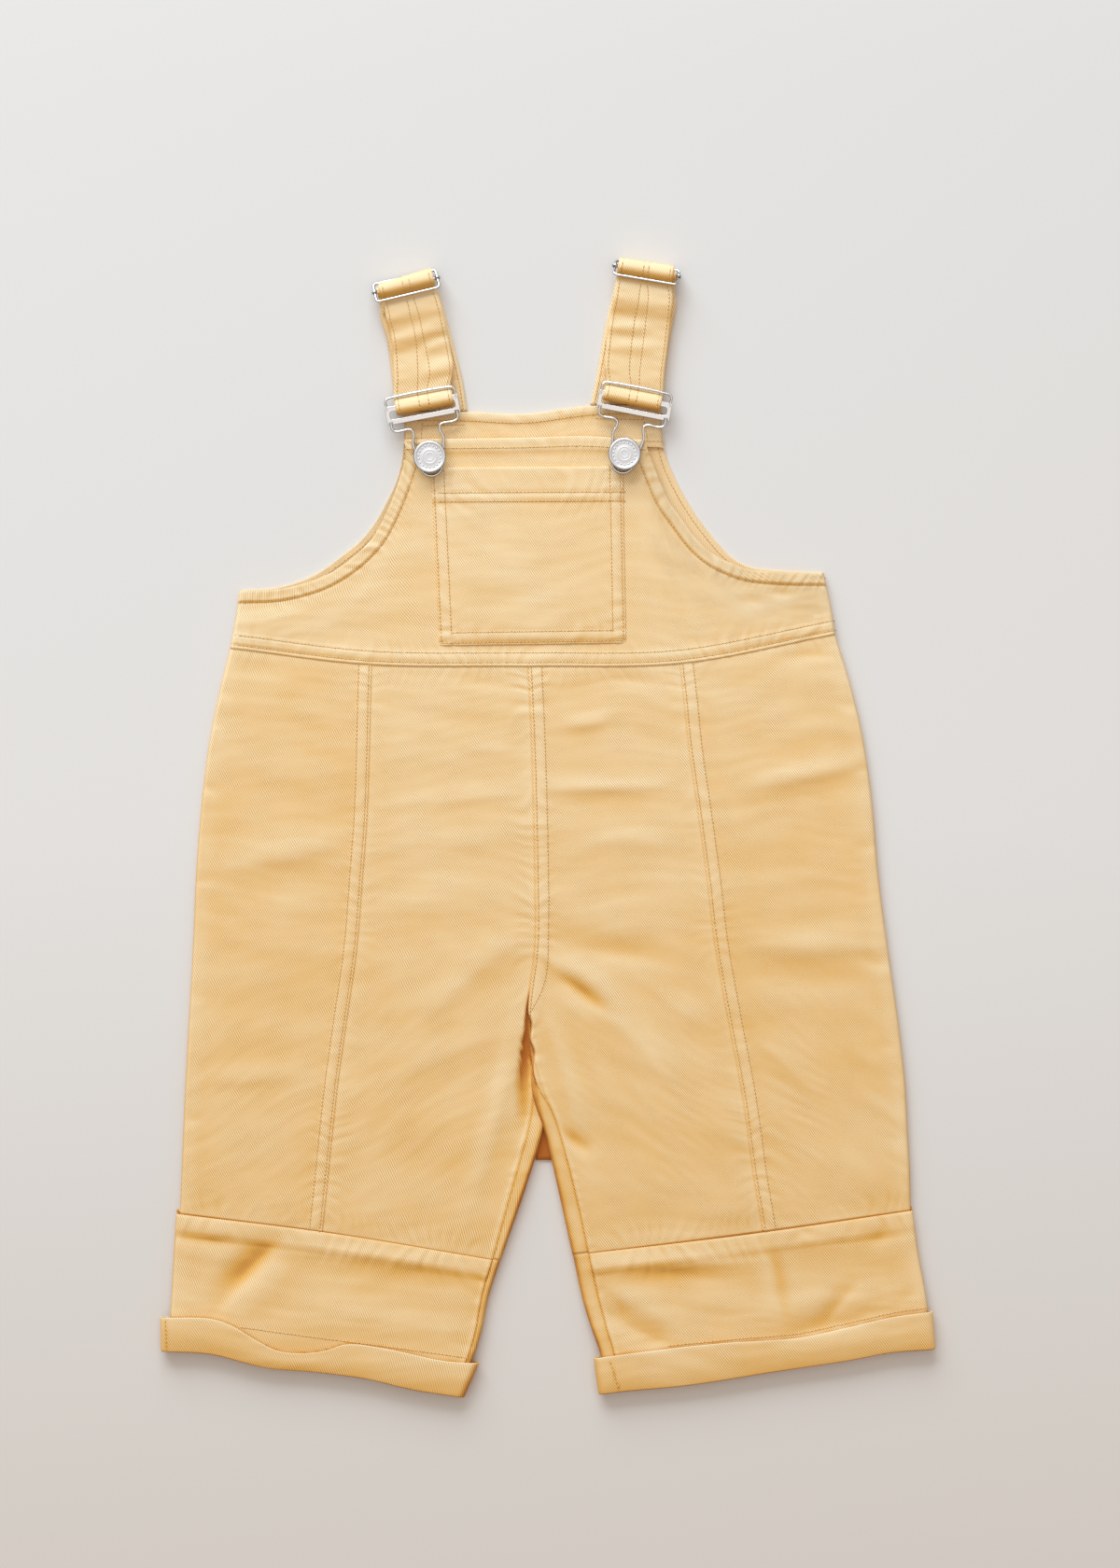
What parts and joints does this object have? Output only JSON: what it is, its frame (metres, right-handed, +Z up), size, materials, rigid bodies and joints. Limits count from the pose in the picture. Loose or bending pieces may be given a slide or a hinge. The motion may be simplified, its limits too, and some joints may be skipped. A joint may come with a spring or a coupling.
{
  "type": "dungarees",
  "caption": "Child's cotton twill dungarees laid flat, with a bib pocket, adjustable straps on hook buckles, a yoke seam and turned-up cuffs.",
  "frame": {"origin": "middle of the garment's outline on the surface it lies on", "axes": "+Z up from the surface, +Y from the hems towards the straps, +X to the viewer's right as the front faces up"},
  "size_m": [0.3981, 0.585, 0.0111],
  "materials": {
    "yellow_twill": "matte cotton twill",
    "bright_nickel": "bright nickel-plated wire and plate",
    "satin_nickel": "satin nickel"
  },
  "bodies": {
    "root": {"back_band_left": "yellow_twill", "back_band_right": "yellow_twill", "back_bib": "yellow_twill", "back_facing": "yellow_twill", "back_leg_left": "yellow_twill", "back_leg_right": "yellow_twill", "back_strap_left": "yellow_twill", "back_strap_right": "yellow_twill", "bib_pocket": "yellow_twill", "buckle_left": "bright_nickel", "buckle_right": "bright_nickel", "button_left": "satin_nickel", "button_right": "satin_nickel", "cuff_left": "yellow_twill", "cuff_right": "yellow_twill", "front_band_left": "yellow_twill", "front_band_right": "yellow_twill", "front_bib": "yellow_twill", "front_centre_leg_left": "yellow_twill", "front_centre_leg_right": "yellow_twill", "front_side_leg_left": "yellow_twill", "front_side_leg_right": "yellow_twill", "front_strap_left": "yellow_twill", "front_strap_right": "yellow_twill", "hook_left": "bright_nickel", "hook_right": "bright_nickel", "slider_left": "bright_nickel", "slider_right": "bright_nickel", "strap_return_left": "yellow_twill", "strap_return_right": "yellow_twill"}
  },
  "joints": []
}
